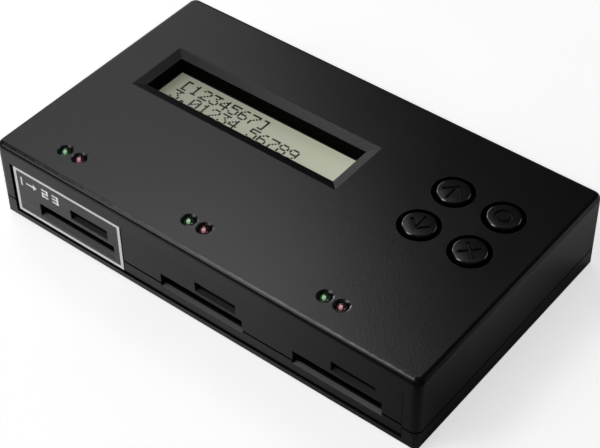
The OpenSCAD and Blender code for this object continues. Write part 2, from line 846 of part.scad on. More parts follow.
// Steel shell that closes the short card channel from above and folds down its sides
module micro_shell(i) {
    x = micro_x(i);
    half = micro_socket_w / 2;
    z1 = micro_channel_z + micro_channel_h;
    y1 = board_y0 + micro_socket_d;
    color("#b5b8bb")
    difference() {
        block([x - half - shell_t, board_y0, board_top_z + fit], [x + half + shell_t, y1, z1 + shell_t]);
        block([x - half, board_y0 - over, board_top_z - over], [x + half, y1 + over, z1]);
    }
}

// Round power jack on the main board, with its collar in the rear wall and a centre pin
module power_jack() {
    color("#141416")
    translate([jack_x, 0, jack_z])
    union() {
        difference() {
            union() {
                block([-jack_w / 2, jack_y0, -jack_w / 2], [jack_w / 2, back_y - wall - fit, jack_w / 2]);
                translate([0, jack_y0, 0]) rotate([-90, 0, 0])
                    cylinder(d = jack_collar_d, h = back_y - jack_recess - jack_y0);
            }
            translate([0, back_y + over, 0]) rotate([90, 0, 0])
                cylinder(d = jack_bore_d, h = jack_bore_l + over);
        }
        translate([0, back_y - jack_bore_l - over, 0]) rotate([-90, 0, 0])
            cylinder(d = jack_pin_d, h = jack_pin_l + over);
    }
}

module on_board(at, w, l, h) {
    block([at[0] - w / 2, at[1] - l / 2, board_top_z], [at[0] + w / 2, at[1] + l / 2, board_top_z + h]);
}

module controller_chip() {
    color("#202022") on_board(chip_at, chip_w, chip_w, chip_t);
}

module memory_chip() {
    color("#202022") on_board(memory_at, memory_l, memory_w, chip_t);
}

module clock_crystal() {
    color("#c3c5c8")
    union() {
        on_board(crystal_at, crystal_w, crystal_l - crystal_w, crystal_h);
        for (s = [-1, 1])
            translate([crystal_at[0], crystal_at[1] + s * (crystal_l - crystal_w) / 2, 0])
                post(crystal_w / 2, board_top_z, board_top_z + crystal_h);
    }
}

module supply_capacitor() {
    color("#9a9da0")
    translate([capacitor_at[0], capacitor_at[1], 0])
        post(capacitor_d / 2, board_top_z, board_top_z + capacitor_h);
}

// A pan-head screw whose head seats at z and whose shank runs up or down from there
module screw(z, length, way) {
    union() {
        post(screw_d / 2, min(z, z + way * length), max(z, z + way * length));
        post(head_d / 2, min(z, z - way * head_h), max(z, z - way * head_h));
    }
}

module case_screws() {
    color("#8d9093") at_each(case_screw_places) screw(base_z + screw_seat_h, case_screw_l, 1);
}

module board_screws() {
    color("#8d9093") at_each(standoffs) screw(board_top_z, board_t + standoff_bore_depth - fit, -1);
}

module display_screws() {
    color("#8d9093") at_each(display_holes) screw(upper_board_z0, upper_screw_l, 1);
}

module key_board_screws() {
    color("#8d9093") at_each(key_holes) screw(upper_board_z0, upper_screw_l, 1);
}

// Stuck-on rubber foot in its recess
module foot(sx, sy) {
    color("#2a2a2a")
    translate([sx * (side_x - foot_inset_x), sy * (-front_y - foot_inset_y), 0])
        post(foot_d / 2, 0, base_z + foot_recess);
}

bottom_cover();
top_cover();
upper_front_panel();
lower_front_panel();
source_label();
main_board();
display_board();
key_board();
display_bezel();
display_glass();
display_light_guide();
display_contact_strips();
display_header();
key_header();
button_up();
button_enter();
button_down();
button_cancel();
plunger_up();
plunger_enter();
plunger_down();
plunger_cancel();
switch_up();
switch_enter();
switch_down();
switch_cancel();
for (i = stations) {
    green_lamp(i);
    red_lamp(i);
    sd_socket(i);
    sd_shell(i);
    micro_socket(i);
    micro_shell(i);
}
power_jack();
controller_chip();
memory_chip();
clock_crystal();
supply_capacitor();
case_screws();
board_screws();
display_screws();
key_board_screws();
foot(-1, -1);  // foot_front_left
foot(1, -1);  // foot_front_right
foot(-1, 1);  // foot_back_left
foot(1, 1);  // foot_back_right
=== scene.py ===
import json
import math

import bmesh
import bpy
from mathutils import Matrix, Vector

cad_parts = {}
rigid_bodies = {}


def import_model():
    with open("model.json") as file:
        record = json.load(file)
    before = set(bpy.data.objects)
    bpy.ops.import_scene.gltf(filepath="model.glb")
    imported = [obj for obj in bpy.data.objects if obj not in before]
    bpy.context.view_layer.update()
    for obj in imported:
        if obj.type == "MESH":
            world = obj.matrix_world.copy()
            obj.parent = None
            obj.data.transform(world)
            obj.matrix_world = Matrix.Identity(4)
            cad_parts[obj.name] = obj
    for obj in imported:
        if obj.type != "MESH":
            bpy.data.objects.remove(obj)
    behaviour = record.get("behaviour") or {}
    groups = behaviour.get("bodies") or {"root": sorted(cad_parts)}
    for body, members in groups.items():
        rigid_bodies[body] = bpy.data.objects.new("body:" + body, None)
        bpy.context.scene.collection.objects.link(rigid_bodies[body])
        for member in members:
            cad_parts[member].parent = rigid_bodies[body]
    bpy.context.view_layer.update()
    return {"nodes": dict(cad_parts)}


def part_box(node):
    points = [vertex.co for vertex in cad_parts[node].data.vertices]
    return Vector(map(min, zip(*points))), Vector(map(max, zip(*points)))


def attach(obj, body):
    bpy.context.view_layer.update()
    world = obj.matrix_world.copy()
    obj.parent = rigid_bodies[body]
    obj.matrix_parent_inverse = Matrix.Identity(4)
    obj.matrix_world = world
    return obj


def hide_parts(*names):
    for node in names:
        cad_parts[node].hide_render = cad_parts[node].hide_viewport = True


for start_thing in list(bpy.data.objects):
    bpy.data.objects.remove(start_thing)
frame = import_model()


# Bottom cover
# A shallow moulded tray of black plastic with a fine spark-eroded skin. Four screws from
# below pull it up against the top cover, and its outer edge leaves a thin shadow gap.
mm = 0.001
same_point = 0.001 * mm


def place(name, mesh, body="case"):
    """A new piece that rides on a body."""
    piece = bpy.data.objects.new(name, mesh)
    bpy.context.scene.collection.objects.link(piece)
    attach(piece, body)
    return piece


def softened(node, width, body="case", crease=32, name=None):
    """A piece with a node's shape, its edges above an angle (degrees) rounded as in a mould."""
    name = (name or node) + "_moulding"
    bm = bmesh.new()
    bm.from_mesh(frame["nodes"][node].data)
    bmesh.ops.remove_doubles(bm, verts=bm.verts, dist=same_point)
    bmesh.ops.dissolve_limit(bm, angle_limit=math.radians(0.5), verts=bm.verts, edges=bm.edges)
    mesh = bpy.data.meshes.new(name)
    bm.to_mesh(mesh)
    bm.free()
    mesh.polygons.foreach_set("use_smooth", [True] * len(mesh.polygons))
    piece = place(name, mesh, body)
    bevel = piece.modifiers.new("edge_rounding", "BEVEL")
    bevel.limit_method = "ANGLE"
    bevel.angle_limit = math.radians(crease)
    bevel.width = width
    bevel.segments = 2
    bevel.miter_outer = "MITER_ARC"
    flat = piece.modifiers.new("even_shading", "WEIGHTED_NORMAL")
    flat.keep_sharp = True
    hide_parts(node)
    return piece


def uneven_skin():
    """Shader group: fine grain as a height, and cloudy variation as a tone."""
    group = bpy.data.node_groups.new("uneven_skin", "ShaderNodeTree")
    for name, usual in (("Grain", 3500), ("Cloud", 45)):
        socket = group.interface.new_socket(name, in_out="INPUT", socket_type="NodeSocketFloat")
        socket.default_value = usual
    for name in ("Height", "Tone"):
        group.interface.new_socket(name, in_out="OUTPUT", socket_type="NodeSocketFloat")
    nodes, links = group.nodes, group.links
    given = nodes.new("NodeGroupInput")
    result = nodes.new("NodeGroupOutput")
    where = nodes.new("ShaderNodeTexCoord")
    grain = nodes.new("ShaderNodeTexNoise")
    grain.inputs["Detail"].default_value = 3
    grain.inputs["Roughness"].default_value = 0.65
    cloud = nodes.new("ShaderNodeTexNoise")
    cloud.inputs["Detail"].default_value = 5
    for texture, scale, outcome in ((grain, "Grain", "Height"), (cloud, "Cloud", "Tone")):
        links.new(where.outputs["Object"], texture.inputs["Vector"])
        links.new(given.outputs[scale], texture.inputs["Scale"])
        links.new(texture.outputs["Fac"], result.inputs[outcome])
    return group


skin_group = uneven_skin()


def graded(material, value, span, levels):
    """A socket that goes from level to level as a value crosses a span, and is even beyond it."""
    nodes, links = material.node_tree.nodes, material.node_tree.links
    grade = nodes.new("ShaderNodeMapRange")
    grade.inputs["From Min"].default_value, grade.inputs["From Max"].default_value = span
    grade.inputs["To Min"].default_value, grade.inputs["To Max"].default_value = levels
    links.new(value, grade.inputs["Value"])
    return grade.outputs["Result"]


def surface(name, dark, light, rough, cloud, spread, relief, bump, depth):
    """Two tones mixed by cloudy noise, with uneven roughness (low, high) and a relief.

    The relief is the skin group's output of that name, with a depth in mm.
    """
    material = bpy.data.materials.new(name)
    material.use_nodes = True
    nodes, links = material.node_tree.nodes, material.node_tree.links
    shader = nodes["Principled BSDF"]
    skin = nodes.new("ShaderNodeGroup")
    skin.name = "Skin"
    skin.node_tree = skin_group
    skin.inputs["Cloud"].default_value = cloud
    tones = nodes.new("ShaderNodeValToRGB")
    for stop, position, colour in zip(tones.color_ramp.elements, spread, (dark, light)):
        stop.position = position
        stop.color = (*colour, 1)
    links.new(skin.outputs["Tone"], tones.inputs["Fac"])
    links.new(tones.outputs["Color"], shader.inputs["Base Color"])
    links.new(graded(material, skin.outputs["Tone"], spread, rough), shader.inputs["Roughness"])
    raised = nodes.new("ShaderNodeBump")
    raised.inputs["Strength"].default_value = bump
    raised.inputs["Distance"].default_value = depth * mm
    links.new(skin.outputs[relief], raised.inputs["Height"])
    links.new(raised.outputs["Normal"], shader.inputs["Normal"])
    return material


def plastic(name, dark, light, rough, grain=3500, bump=0.12, depth=0.02, shine=0.5):
    """Moulded plastic: two close tones under a fine eroded grain."""
    material = surface(name, dark, light, rough, 45, (0.3, 0.7), "Height", bump, depth)
    nodes = material.node_tree.nodes
    nodes["Skin"].inputs["Grain"].default_value = grain
    nodes["Principled BSDF"].inputs["Specular IOR Level"].default_value = shine
    return material


def finish(piece, material):
    """Gives a whole piece one material."""
    piece.data.materials.clear()
    piece.data.materials.append(material)
    return piece


moulded_dark, moulded_light = (0.006, 0.006, 0.0064), (0.008, 0.008, 0.0085)
case_black = plastic("case_black", moulded_dark, moulded_light, (0.215, 0.24),
                     grain=1600, bump=0.45, depth=0.05)
bottom_cover = finish(softened("bottom_cover", 0.15 * mm), case_black)


# Top cover
# The larger black shell, with a bevelled display window, lamp holes and button holes. It sits
# on the bottom cover's inner rim. The walls of the window and of the button holes are matt, so
# the display stays clear, and darkened with painted shade. The dished rims of the lamp holes are
# given a metallic grey as a painted highlight.
def grey(level):
    return (level, level, level)


def speckled(name, dark, light, rough, cloud=900, metallic=0.0, bump=0.05):
    """A surface of two tones mixed by fine noise, which is its relief too."""
    material = surface(name, dark, light, rough, cloud, (0.35, 0.65), "Tone", bump, 0.02)
    material.node_tree.nodes["Principled BSDF"].inputs["Metallic"].default_value = metallic
    return material


def in_part(piece, material, test):
    """Gives the faces that pass a test of their middle and normal a material of their own."""
    piece.data.materials.append(material)
    for face in piece.data.polygons:
        if test(face.center, face.normal):
            face.material_index = len(piece.data.materials) - 1


top_cover = finish(softened("top_cover", 0.16 * mm, crease=15.2), case_black)
# Painted shade: a far darker matt black for window and hole walls, seam ledges and the caps' hidden
# sides.
matt_painted_shade = plastic("matt_painted_shade", grey(0.0008), grey(0.0012), (0.8, 0.9), shine=0.06)
glass_low, glass_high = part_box("display_glass")
seam_z, face_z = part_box("top_cover")[0].z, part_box("top_cover")[1].z
keys_low, keys_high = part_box("button_down")[0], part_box("button_enter")[1]
bevel_h, seam_h, dish_h = 0.8 * mm, 0.7 * mm, 0.3 * mm
in_part(top_cover, matt_painted_shade, lambda c, n: c.z < face_z - bevel_h and abs(n.z) < 0.1 and (
    glass_low.x < c.x < glass_high.x and glass_low.y < c.y < glass_high.y
    or keys_low.x < c.x < keys_high.x and keys_low.y < c.y < keys_high.y))
# Painted shade on the ledge inside the seam under the top cover.
in_part(bottom_cover, matt_painted_shade, lambda c, n: n.z > 0.9 and 0 < seam_z - c.z < seam_h)
# Painted highlight: the dished lamp-hole rims get a polished metallic grey so they catch a bright
# patch.
dish_painted_highlight = speckled("dish_painted_highlight", grey(0.13), grey(0.22), (0.19, 0.25), 600, metallic=1.0)
lamp_row_y, lamp_row_x = glass_low.y - 8 * mm, 60 * mm
in_part(top_cover, dish_painted_highlight, lambda c, n: 0.7 < n.z < 0.95 and c.z > face_z - dish_h
        and c.y < lamp_row_y and abs(c.x) < lamp_row_x)

# Front panels
# Two black strips held behind the case front by flanges, split level with the covers. The card
# slots are cut through them. The slot floors are rough, their paler front part is painted light
# falling into the slots, and painted shade darkens their rear part and the joint groove.
panel_black = plastic("panel_black", moulded_dark, moulded_light, (0.26, 0.3),
                      grain=1600, bump=0.5, depth=0.05)
panel_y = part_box("source_label")[1].y
groove_d, groove_back = 1.2 * mm, 0.8 * mm


def along(material, axis):
    """A socket with one of the piece's own coordinates, in metres."""
    nodes, links = material.node_tree.nodes, material.node_tree.links
    split = nodes.new("ShaderNodeSeparateXYZ")
    links.new(nodes.new("ShaderNodeTexCoord").outputs["Object"], split.inputs["Vector"])
    return split.outputs[axis]


def floor_with_painted_shade(name, dark, light):
    """Rough plastic, paler in front as painted light, with painted shade darkening it towards the
    inside.
    """
    material = plastic(name, dark, light, (0.6, 0.75), bump=0.3)
    nodes, links = material.node_tree.nodes, material.node_tree.links
    painted_shade_start = (panel_y + 1.45 * mm, panel_y + 1.6 * mm)
    shaded = nodes.new("ShaderNodeVectorMath")
    shaded.operation = "SCALE"
    links.new(nodes["Color Ramp"].outputs["Color"], shaded.inputs[0])
    # Painted shade: behind the first 1.5 mm the floor's colour falls to 3 % of its pale front.
    links.new(graded(material, along(material, "Y"), painted_shade_start, (1, 0.03)), shaded.inputs["Scale"])
    links.new(shaded.outputs["Vector"], nodes["Principled BSDF"].inputs["Base Color"])
    return material


for node, slot_floor, dark, light in (("upper_front_panel", 11.65 * mm, 0.04, 0.05),
                                      ("lower_front_panel", 5.95 * mm, 0.17, 0.21)):
    strip = finish(softened(node, 0.1 * mm), panel_black)
    in_part(strip, floor_with_painted_shade(node + "_floor_painted_shade", grey(dark), grey(light)),
            lambda c, n: n.z > 0.9 and abs(c.z - slot_floor) < 0.2 * mm)
    # Painted shade in the groove at the panels' joint.
    in_part(strip, matt_painted_shade, lambda c, n: 0 < seam_z - c.z < seam_h and c.y < panel_y + groove_d
            and (n.z > 0.9 or c.y > panel_y + groove_back))


# Source label
# A film printed with a pale border and a sign for one source and two targets. It is stuck over
# the source station, cut out round the slots, and shows the panels' joint as a faint crease,
# whose paler colour is a painted highlight. The print has a faint painted glow.
def boxes(name, corners):
    """One mesh of upright boxes, each given by its low and high corner."""
    bm = bmesh.new()
    for low, high in corners:
        size = [b - a for a, b in zip(low, high)]
        mid = [(a + b) / 2 for a, b in zip(low, high)]
        spot = Matrix.Translation(mid) @ Matrix.Diagonal((*size, 1))
        bmesh.ops.create_cube(bm, size=1, matrix=spot)
    mesh = bpy.data.meshes.new(name)
    bm.to_mesh(mesh)
    bm.free()
    return mesh


def dress(node, material):
    """Gives a CAD node, as it stands, a better material."""
    for k in range(len(frame["nodes"][node].material_slots)):
        frame["nodes"][node].material_slots[k].material = material


def with_painted_glow(material, strength):
    """Adds an even white glow to a material: painted light on a part that is no lamp."""
    shader = material.node_tree.nodes["Principled BSDF"]
    shader.inputs["Emission Color"].default_value = (1, 1, 1, 1)
    shader.inputs["Emission Strength"].default_value = strength
    return material


dress("source_label", speckled("label_film", (0.07, 0.07, 0.072), (0.09, 0.09, 0.092),
                               (0.3, 0.36), 300))
film_low, film_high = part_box("source_label")
ink_proud, ink_sunk = 0.012 * mm, 0.01 * mm


def on_film(x0, z0, x1, z1):
    """A flat printed patch, by its corners in mm from the film's lower left corner."""
    return ((film_low.x + x0 * mm, film_low.y - ink_proud, film_low.z + z0 * mm),
            (film_low.x + x1 * mm, film_low.y + ink_sunk, film_low.z + z1 * mm))


film_w, film_h = (film_high.x - film_low.x) / mm, (film_high.z - film_low.z) / mm
margin, rim = 0.1, 1.05
print_patches = [on_film(margin, margin, film_w - margin, rim),
                 on_film(margin, film_h - rim, film_w - margin, film_h - margin),
                 on_film(margin, rim, rim, film_h - rim),
                 on_film(film_w - rim, rim, film_w - margin, film_h - rim)]
one, two, three = 2.4, 10.2, 14.0
sign_z, sign_w, sign_h, line = 10.3, 2.3, 2.9, 0.6
sign_top, sign_mid = sign_z + sign_h, sign_z + sign_h / 2
print_patches.append(on_film(one, sign_z, one + line, sign_top))
for left, lower_side in ((two, 0), (three, sign_w - line)):
    right, lower_left = left + sign_w, left + lower_side
    for z in (0, (sign_h - line) / 2, sign_h - line):
        print_patches.append(on_film(left, sign_z + z, right, sign_z + z + line))
    print_patches.append(on_film(right - line, sign_mid, right, sign_top))
    print_patches.append(on_film(lower_left, sign_z, lower_left + line, sign_mid))
shaft = sign_z + (sign_h - line) / 2
print_patches.append(on_film(one + 2.0, shaft, one + 5.2, shaft + line))
head_x, head_steps, head_step, head_rise = one + 4.6, 8, 0.16, 1.05
for k in range(head_steps):
    x, rise = head_x + head_step * k, head_rise * (1 - k / head_steps)
    print_patches.append(on_film(x, shaft + line / 2 - rise, x + head_step, shaft + line / 2 + rise))
label_print = place("label_print", boxes("label_print", print_patches))
# The white print also glows a little, painted light that brightens it.
finish(label_print, with_painted_glow(speckled("print_white", grey(0.84), grey(0.92), (0.4, 0.5), 700), 0.2))
joint_z = (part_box("upper_front_panel")[0].z - film_low.z) / mm
slot_left, slot_w, crease_half = 7.2, 27, 0.12
crease = place("label_crease", boxes("label_crease", [
    on_film(rim, joint_z - crease_half, slot_left, joint_z + crease_half),
    on_film(slot_left + slot_w, joint_z - crease_half, film_w - rim, joint_z + crease_half)]))
finish(crease, speckled("crease_painted_highlight", grey(0.16), grey(0.2), (0.3, 0.36), 300))

# Display
# A two-line character cell: glass with a pale polariser, in a black steel bezel on its own
# board, over a light guide and wired through striped rubber. The polariser glows with painted
# light, brighter towards the right.
polariser = speckled("polariser", (0.33, 0.34, 0.265), (0.36, 0.37, 0.29), (0.3, 0.36), 60)
nodes, links = polariser.node_tree.nodes, polariser.node_tree.links
painted_light_ramp = nodes.new("ShaderNodeValToRGB")
painted_light_ramp.color_ramp.elements[0].color = (0.12, 0.125, 0.095, 1)
painted_light_ramp.color_ramp.elements[1].color = (0.33, 0.345, 0.262, 1)
links.new(graded(polariser, along(polariser, "X"), (glass_low.x, glass_high.x), (0, 1)),
          painted_light_ramp.inputs["Fac"])
links.new(painted_light_ramp.outputs["Color"], nodes["Principled BSDF"].inputs["Emission Color"])
nodes["Principled BSDF"].inputs["Emission Strength"].default_value = 1
dress("display_glass", polariser)
dress("display_bezel", speckled("bezel_black", grey(0.0025), grey(0.004), (0.6, 0.7)))
dress("display_light_guide", speckled("guide_clear", (0.7, 0.72, 0.6), (0.8, 0.82, 0.7),
                                      (0.15, 0.25)))
dress("display_contact_strips", speckled("striped_rubber", (0.12, 0.12, 0.11), (0.3, 0.3, 0.28),
                                         (0.6, 0.8), 2500))
dot_rows = {
    "0": (14, 17, 19, 21, 25, 17, 14), "1": (4, 12, 4, 4, 4, 4, 14), "2": (14, 17, 1, 2, 4, 8, 31),
    "3": (31, 2, 4, 2, 1, 17, 14), "4": (2, 6, 10, 18, 31, 2, 2), "5": (31, 16, 30, 1, 1, 17, 14),
    "6": (6, 8, 16, 30, 17, 17, 14), "7": (31, 1, 2, 4, 8, 8, 8), "8": (14, 17, 17, 14, 17, 17, 14),
    "9": (14, 17, 17, 15, 1, 2, 12), "[": (14, 8, 8, 8, 8, 8, 14), "]": (14, 2, 2, 2, 2, 2, 14),
    ".": (0, 0, 0, 0, 0, 12, 12), " ": (0, 0, 0, 0, 0, 0, 0),
}
cell_x, cell_y = -49.45 * mm, 14.7 * mm
dot_x, dot_y, char_pitch, line_pitch = 0.61 * mm, 0.593 * mm, 3.44 * mm, 4.65 * mm
half_x, half_y, dot_sunk, dot_proud = 0.3 * mm, 0.295 * mm, 0.02 * mm, 0.015 * mm
dots = []
for row_of_text, text in enumerate(("[1234567]", "3.01234 56789")):
    for column, sign in enumerate(text):
        for row, bits in enumerate(dot_rows[sign]):
            for bit in range(5):
                if bits >> (4 - bit) & 1:
                    x = cell_x + column * char_pitch + bit * dot_x
                    y = cell_y - row_of_text * line_pitch - row * dot_y
                    dots.append(((x - half_x, y - half_y, glass_high.z - dot_sunk),
                                 (x + half_x, y + half_y, glass_high.z + dot_proud)))
display_dots = place("display_dots", boxes("display_dots", dots))
finish(display_dots, speckled("dark_segment", (0.01, 0.011, 0.008), (0.016, 0.017, 0.012),
                              (0.3, 0.36)))


# Push buttons
# Four round caps of smooth black plastic with a sunk sign. A flange under the top face keeps
# each one in, and its stem rests on the plunger of a square switch with a steel lid.
def creased(bm, name, angle=35):
    """Ends a bmesh: smooth shading, with the edges above this angle left sharp."""
    for edge in bm.edges:
        edge.smooth = edge.calc_face_angle(0) < math.radians(angle)
    mesh = bpy.data.meshes.new(name)
    bm.to_mesh(mesh)
    bm.free()
    mesh.polygons.foreach_set("use_smooth", [True] * len(mesh.polygons))
    return mesh


def lathe(name, profile, at, steps=96, ring=False):
    """A turned mesh about an upright axis, from (radius, height) pairs, in a loop for a ring."""
    bm = bmesh.new()
    turns = [(math.cos(k * math.tau / steps), math.sin(k * math.tau / steps)) for k in range(steps)]
    rings = []
    for radius, height in profile:
        if radius < 1e-9:
            rings.append([bm.verts.new((at[0], at[1], height))])
        else:
            rings.append([bm.verts.new((at[0] + radius * c, at[1] + radius * s, height))
                          for c, s in turns])
    for lower, upper in zip(rings, rings[1:] + rings[:1] if ring else rings[1:]):
        for k in range(steps):
            corners = [lower[k % len(lower)], lower[(k + 1) % len(lower)],
                       upper[(k + 1) % len(upper)], upper[k % len(upper)]]
            bm.faces.new(list(dict.fromkeys(corners)))
    bmesh.ops.recalc_face_normals(bm, faces=bm.faces)
    return creased(bm, name)


def rounded(radius, height, r, steps=6):
    """Profile points of an edge rounding that ends flat at this height."""
    return [(radius - r + r * math.cos(t), height - r + r * math.sin(t))
            for t in (k * math.pi / 2 / steps for k in range(steps + 1))]


def bars(name, at, strokes, low, low_width, high, high_width):
    """Bars along strokes, by their ends in mm from a middle point, with a width at each height."""
    bm = bmesh.new()
    for (x0, y0), (x1, y1) in strokes:
        middle = (at[0] + (x0 + x1) / 2 * mm, at[1] + (y0 + y1) / 2 * mm, 0)
        turn = Matrix.Translation(middle) @ Matrix.Rotation(math.atan2(y1 - y0, x1 - x0), 4, "Z")
        reach = math.hypot(x1 - x0, y1 - y0) / 2 * mm
        lower, upper = [[bm.verts.new(turn @ Vector((sx * (reach + width / 2), sy * width / 2, z)))
                         for sx, sy in ((-1, -1), (1, -1), (1, 1), (-1, 1))]
                        for z, width in ((low, low_width), (high, high_width))]
        bm.faces.new(lower[::-1])
        bm.faces.new(upper)
        for k in range(4):
            bm.faces.new((lower[k], lower[(k + 1) % 4], upper[(k + 1) % 4], upper[k]))
    return creased(bm, name)


def carved(mesh, cutter):
    """The mesh with another one cut out of it."""
    stock, tool = bpy.data.objects.new("stock", mesh), bpy.data.objects.new("tool", cutter)
    for thing in (stock, tool):
        bpy.context.scene.collection.objects.link(thing)
    cut = stock.modifiers.new("cut", "BOOLEAN")
    cut.object, cut.operation, cut.solver, cut.use_self = tool, "DIFFERENCE", "EXACT", True
    bm = bmesh.new()
    bm.from_object(stock, bpy.context.evaluated_depsgraph_get())
    for thing in (stock, tool):
        bpy.data.objects.remove(thing)
    return creased(bm, mesh.name)


button_black = plastic("button_black", moulded_dark, moulded_light, (0.21, 0.24), bump=0.03)
rim_painted_highlight = speckled("rim_painted_highlight", grey(0.18), grey(0.24), (0.16, 0.22), 600, metallic=1.0)
groove_painted_shade = plastic("groove_painted_shade", (0.0022, 0.0022, 0.0024), (0.003, 0.003, 0.0032), (0.4, 0.5),
                     bump=0.04)
plunger_black = speckled("plunger_black", grey(0.006), grey(0.01), (0.4, 0.5))
switch_black = speckled("switch_black", grey(0.008), grey(0.014), (0.4, 0.5))
sheet_steel = speckled("sheet_steel", grey(0.3), grey(0.4), (0.35, 0.45), 400, metallic=1.0)
cap_gap, cap_round, flange_t, stem_r = 1.9 * mm, 0.5 * mm, 1.2 * mm, 2.2 * mm
flange_z = face_z - 2.15 * mm
sign_depth, sign_floor, sign_mouth, ring_r = 0.5 * mm, 0.35 * mm, 0.85 * mm, 2.0 * mm
over_width = 2 * sign_mouth - sign_floor
arrow = [((0, 2.0), (0, -2.9)), ((0, 2.0), (-2.6, -0.6)), ((0, 2.0), (2.6, -0.6))]
cross = [((-1.85, -1.85), (1.85, 1.85)), ((-1.85, 1.85), (1.85, -1.85))]
strokes_of = {"up": arrow, "cancel": cross,
              "down": [[(x, -y) for x, y in ends] for ends in arrow]}
for sign in ("up", "enter", "down", "cancel"):
    low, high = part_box("button_" + sign)
    middle = (low + high) / 2
    flange_r = (high.x - low.x) / 2
    cap_r = flange_r - cap_gap
    profile = [(0, low.z), (stem_r, low.z), (stem_r, flange_z - flange_t),
               (flange_r, flange_z - flange_t), (flange_r, flange_z), (cap_r, flange_z)]
    profile += rounded(cap_r, high.z, cap_round) + [(0, high.z)]
    sunk, over = high.z - sign_depth, high.z + sign_depth
    if sign == "enter":
        a, b = sign_floor / 2, over_width / 2
        groove = [(ring_r - a, sunk), (ring_r + a, sunk), (ring_r + b, over), (ring_r - b, over)]
        cutter = lathe("ring_sign", groove, middle, 64, True)
    else:
        cutter = bars("line_sign", middle, strokes_of[sign], sunk, sign_floor, over, over_width)
    blank = lathe("button_cap_" + sign, profile, middle)
    cap = place("button_cap_" + sign, carved(blank, cutter), sign + "_button")
    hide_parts("button_" + sign)
    finish(cap, button_black)
    # Painted shade on the floor of the sunk sign.
    in_part(cap, groove_painted_shade, lambda c, n: abs(c.z - sunk) < 0.01 * mm and n.z > 0.9)
    # Painted highlight: the caps' edge rounding gets a polished metallic grey.
    in_part(cap, rim_painted_highlight, lambda c, n: 0.35 < n.z < 0.97 and c.z > high.z - cap_round
            and math.hypot(c.x - middle.x, c.y - middle.y) > cap_r - cap_round)
    # Painted shade on the flange and on the cap's sides inside the hole.
    in_part(cap, matt_painted_shade, lambda c, n: c.z < flange_z + 0.01 * mm
            or abs(n.z) < 0.1 and c.z < face_z)
    plunger = softened("plunger_" + sign, 0.1 * mm, sign + "_button")
    finish(plunger, plunger_black)
    switch = finish(softened("switch_" + sign, 0.1 * mm), switch_black)
    in_part(switch, sheet_steel, lambda c, n: n.z > 0.9)


# Lamps
# Round-topped 3 mm lamps of tinted clear resin, green for good and red for failed, standing
# on their leads below holes in the top face. A cup and a thin post sit inside the resin; the
# cup glows with painted light, a painted highlight seen through the dome.
def resin(name, dark, light):
    """Tinted clear resin with slow streaks of colour and a nearly smooth face."""
    material = speckled(name, dark, light, (0.04, 0.08), 700, bump=0.02)
    shader = material.node_tree.nodes["Principled BSDF"]
    shader.inputs["Transmission Weight"].default_value = 0.9
    shader.inputs["IOR"].default_value = 1.52
    return material


resins = {"green": resin("green_resin", (0.17, 0.48, 0.17), (0.23, 0.54, 0.23)),
          "red": resin("red_resin", (0.52, 0.16, 0.19), (0.58, 0.2, 0.23))}
cup_painted_highlight = with_painted_glow(speckled("cup_painted_highlight", grey(0.8), grey(0.9), (0.3, 0.4)), 0.4)
tinned = speckled("tinned", grey(0.5), grey(0.62), (0.25, 0.35), 500, metallic=1.0)
body_r, brim_r, brim_t, lamp_l = 1.5 * mm, 1.9 * mm, 1.0 * mm, 5.3 * mm
cup_x, cup_rise, cup_h, cup_d = -0.25 * mm, 0.45 * mm, 0.6 * mm, 0.25 * mm
lead_x, lead_half, lead_gap = 1.27 * mm, 0.25 * mm, 0.02 * mm
post_half, post_foot = 0.18 * mm, 0.3 * mm
post_spans = ((-0.46 * mm, -0.1 * mm, 0.62 * mm), (0.42 * mm, 0.66 * mm, 0.2 * mm))
for colour in ("green", "red"):
    for i in "123":
        low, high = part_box(colour + "_lamp_" + i)
        middle, tip, foot = (low + high) / 2, high.z, high.z - lamp_l
        dome = [(body_r * math.cos(k * math.pi / 24),
                 tip - body_r + body_r * math.sin(k * math.pi / 24)) for k in range(12)]
        profile = [(0, foot), (brim_r, foot), (brim_r, foot + brim_t), (body_r, foot + brim_t)]
        profile += dome + [(0, tip)]
        lens = place(colour + "_lens_" + i, lathe(colour + "_lens_" + i, profile, middle, 48))
        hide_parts(colour + "_lamp_" + i)
        finish(lens, resins[colour])
        rim_z = tip - body_r + cup_rise
        profile = [(0, rim_z - cup_h), (0.24 * mm, rim_z - cup_h), (0.38 * mm, rim_z),
                   (0.3 * mm, rim_z), (0.18 * mm, rim_z - cup_d), (0, rim_z - cup_d)]
        cup = place(colour + "_cup_" + i,
                    lathe(colour + "_cup_" + i, profile, (middle.x + cup_x, middle.y), 32))
        finish(cup, cup_painted_highlight)
        leads = [((middle.x + x - lead_half, middle.y - lead_half, low.z),
                  (middle.x + x + lead_half, middle.y + lead_half, foot - lead_gap))
                 for x in (-lead_x, lead_x)]
        leads += [((middle.x + x0, middle.y - post_half, foot + post_foot),
                   (middle.x + x1, middle.y + post_half, rim_z - drop))
                  for x0, x1, drop in post_spans]
        wires = place(colour + "_leads_" + i, boxes(colour + "_leads_" + i, leads))
        finish(wires, tinned)

